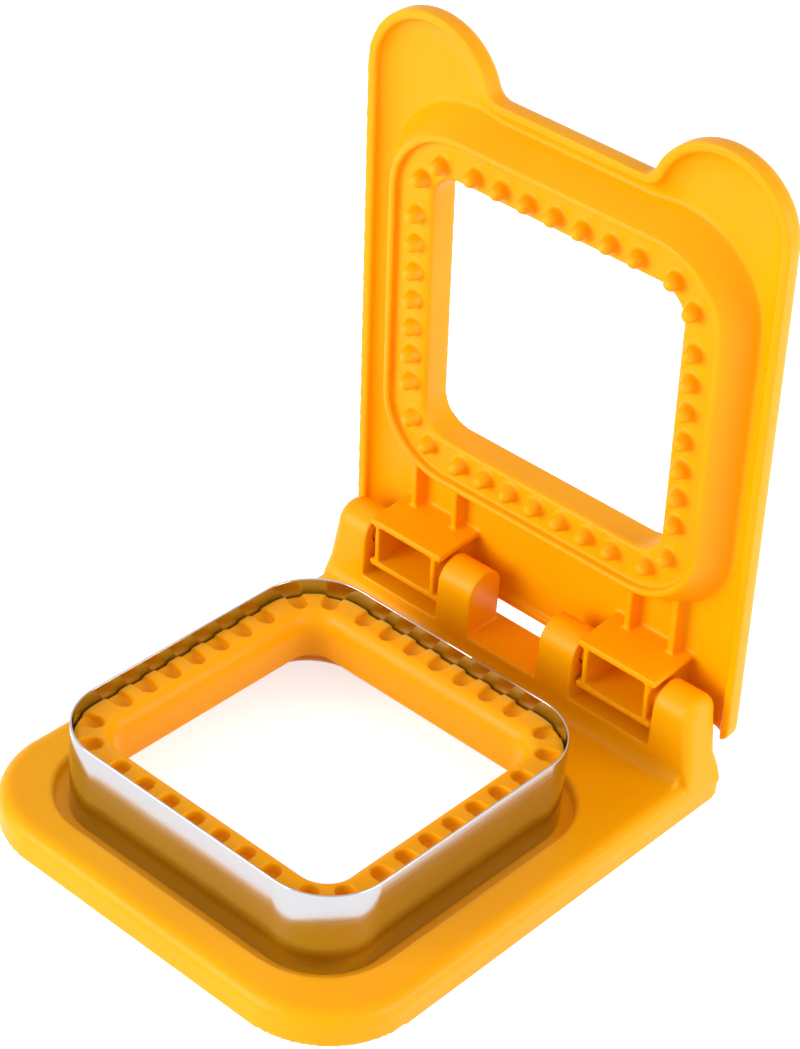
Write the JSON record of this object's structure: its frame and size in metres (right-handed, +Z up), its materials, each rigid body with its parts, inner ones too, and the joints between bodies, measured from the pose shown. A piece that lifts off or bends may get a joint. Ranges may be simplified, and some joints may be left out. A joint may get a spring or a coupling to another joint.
{
  "type": "sandwich cutter and sealer",
  "caption": "Square steel bread cutter standing in a plastic base with a notched ring, and a hinged lid with a toothed frame that seals the slices.",
  "frame": {"origin": "middle of the whole object's footprint at rest, on the surface that the base stands on", "axes": "+X along the hinge to the right seen from the front, +Y from the front towards the hinge, +Z up"},
  "size_m": [0.1082, 0.1284, 0.154],
  "materials": {
    "orange_plastic": "satin gloss moulded ABS",
    "band_steel": "polished strip",
    "screw_steel": "zinc plated"
  },
  "bodies": {
    "base": {"base_moulding": "orange_plastic", "cutter_band": "band_steel", "sealing_ring": "orange_plastic", "ring_screw_1": "screw_steel", "ring_screw_2": "screw_steel", "ring_screw_3": "screw_steel", "ring_screw_4": "screw_steel"},
    "lid": {"lid_moulding": "orange_plastic"}
  },
  "joints": [
    {"name": "lid_hinge", "type": "hinge", "parent": "base", "child": "lid", "pos_m": [0, 0.05259, 0.0225], "axis": [1, 0, 0], "range_deg": [-5, 86]}
  ]
}
